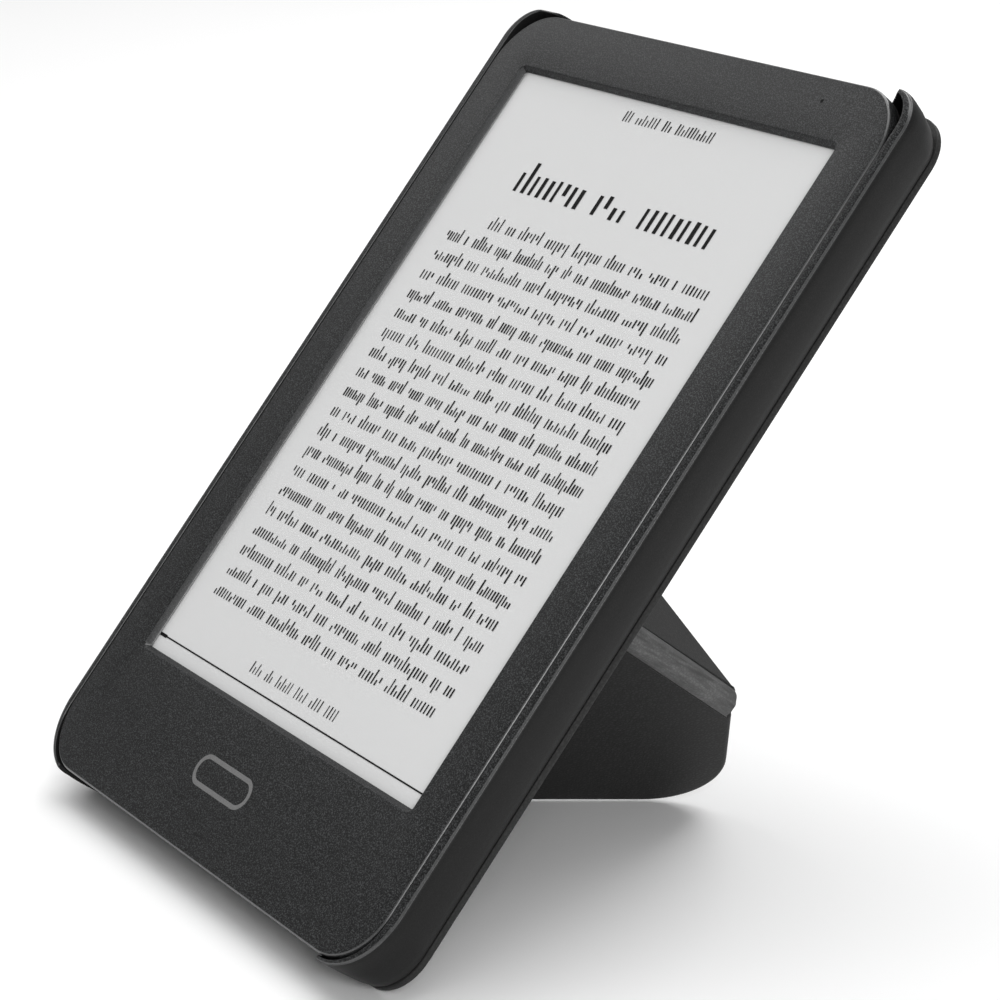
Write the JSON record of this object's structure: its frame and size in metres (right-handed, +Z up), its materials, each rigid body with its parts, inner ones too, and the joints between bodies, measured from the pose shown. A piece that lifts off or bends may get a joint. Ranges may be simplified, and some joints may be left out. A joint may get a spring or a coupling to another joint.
{
  "type": "e-reader",
  "caption": "Slim e-reader seated in a moulded tray case whose hinged cover folds behind it into an angular stand.",
  "frame": {"origin": "centre of the bounding box on the surface it stands on, the e-reader leaning back in its stand", "axes": "+Z up; +X to the right along the e-reader's lower edge as a reader sees it; +Y away from the reader, so the screen faces -Y and up"},
  "size_m": [0.1206, 0.1148, 0.131],
  "materials": {
    "bezel_plastic": "fine grained moulded plastic",
    "housing_plastic": "matt moulded plastic",
    "page_film": "matt film over e-paper",
    "clear_film": "clear film",
    "steel": "plain steel",
    "circuit_board": "solder mask",
    "chip_black": "moulded package",
    "battery_wrap": "foil pouch",
    "flex_amber": "flexible circuit",
    "foam_black": "soft foam",
    "tray_plastic": "smooth matt plastic",
    "cover_leather": "fine grained synthetic leather",
    "cover_microfibre": "brushed microfibre",
    "stiff_board": "fibre board",
    "light_pipe": "diffusing light guide"
  },
  "bodies": {
    "case": {"front_bezel": "bezel_plastic", "front_film": "page_film", "touch_sensor": "clear_film", "light_guide": "clear_film", "epaper_display": "page_film", "frontlight_led_strip": "light_pipe", "display_gasket": "foam_black", "midframe": "steel", "battery_cell": "battery_wrap", "battery_adhesive": "foam_black", "main_board": "circuit_board", "soc_shield": "steel", "memory_chip": "chip_black", "power_chip": "chip_black", "wireless_antenna": "flex_amber", "hall_sensor": "chip_black", "display_flex": "flex_amber", "touch_flex": "flex_amber", "battery_lead": "flex_amber", "power_daughterboard": "circuit_board", "power_switch": "steel", "housing_screw_1": "steel", "housing_screw_2": "steel", "housing_screw_3": "steel", "housing_screw_4": "steel", "housing_screw_5": "steel", "housing_screw_6": "steel", "usb_c_port": "steel", "usb_c_tongue": "chip_black", "rear_housing": "housing_plastic", "status_light_pipe": "light_pipe", "case_tray": "tray_plastic", "tray_lining": "cover_microfibre", "back_plate": "cover_leather"},
    "button": {"power_button": "bezel_plastic"},
    "spine_a": {"spine_strip_case": "cover_leather"},
    "spine_b": {"spine_strip_cover": "cover_leather"},
    "base": {"base_lining": "cover_microfibre", "base_board": "stiff_board", "base_skin": "cover_leather", "base_magnet": "steel"},
    "foot": {"foot_lining": "cover_microfibre", "foot_board": "stiff_board", "foot_skin": "cover_leather", "foot_magnet": "steel"},
    "ridge": {"ridge_lining": "cover_microfibre", "ridge_board": "stiff_board", "ridge_skin": "cover_leather"},
    "flap": {"flap_lining": "cover_microfibre", "flap_board": "stiff_board", "flap_skin": "cover_leather", "flap_magnet": "steel"}
  },
  "joints": [
    {"name": "cover_swing", "type": "hinge", "parent": "case", "child": "spine_a", "pos_m": [-0.05924, 0.00223, 0.06177], "axis": [0, -0.6341, -0.7733], "range_deg": [-192.68, 0]},
    {"name": "spine_fold", "type": "hinge", "parent": "spine_a", "child": "spine_b", "pos_m": [-0.05772, 0.00748, 0.05747], "axis": [0, -0.6341, -0.7733], "range_deg": [-154.66, 0.01]},
    {"name": "cover_edge", "type": "hinge", "parent": "spine_b", "child": "base", "pos_m": [-0.05619, 0.00223, 0.06177], "axis": [0, -0.6341, -0.7733], "range_deg": [-12.69, 0.01]},
    {"name": "foot_fold", "type": "hinge", "parent": "base", "child": "foot", "pos_m": [-0.04054, -0.04396, 0.00149], "axis": [0.7517, 0.4181, 0.51], "range_deg": [-94.98, 0.01]},
    {"name": "ridge_fold", "type": "hinge", "parent": "foot", "child": "ridge", "pos_m": [0.03273, -0.0032, 0.05119], "axis": [0.0802, -0.7985, 0.5967], "range_deg": [-104.4, 0.01]},
    {"name": "flap_fold", "type": "hinge", "parent": "base", "child": "flap", "pos_m": [0.03273, -0.0032, 0.05119], "axis": [0, 0.6341, 0.7733], "range_deg": [-180.01, 0.01]},
    {"name": "power_press", "type": "slide", "parent": "case", "child": "button", "axis": [0, -0.7733, 0.6341], "range_m": [0, 0.0003], "stiffness_N_per_m": 600, "springref_m": -0.0005}
  ],
  "couplings": [
    {"joint": "spine_fold", "follows": "cover_swing", "ratio": 0.80264},
    {"joint": "cover_edge", "follows": "cover_swing", "ratio": 0.065785},
    {"joint": "foot_fold", "follows": "cover_swing", "ratio": 0.49291},
    {"joint": "ridge_fold", "follows": "cover_swing", "ratio": 0.54182},
    {"joint": "flap_fold", "follows": "cover_swing", "ratio": 0.9337}
  ]
}
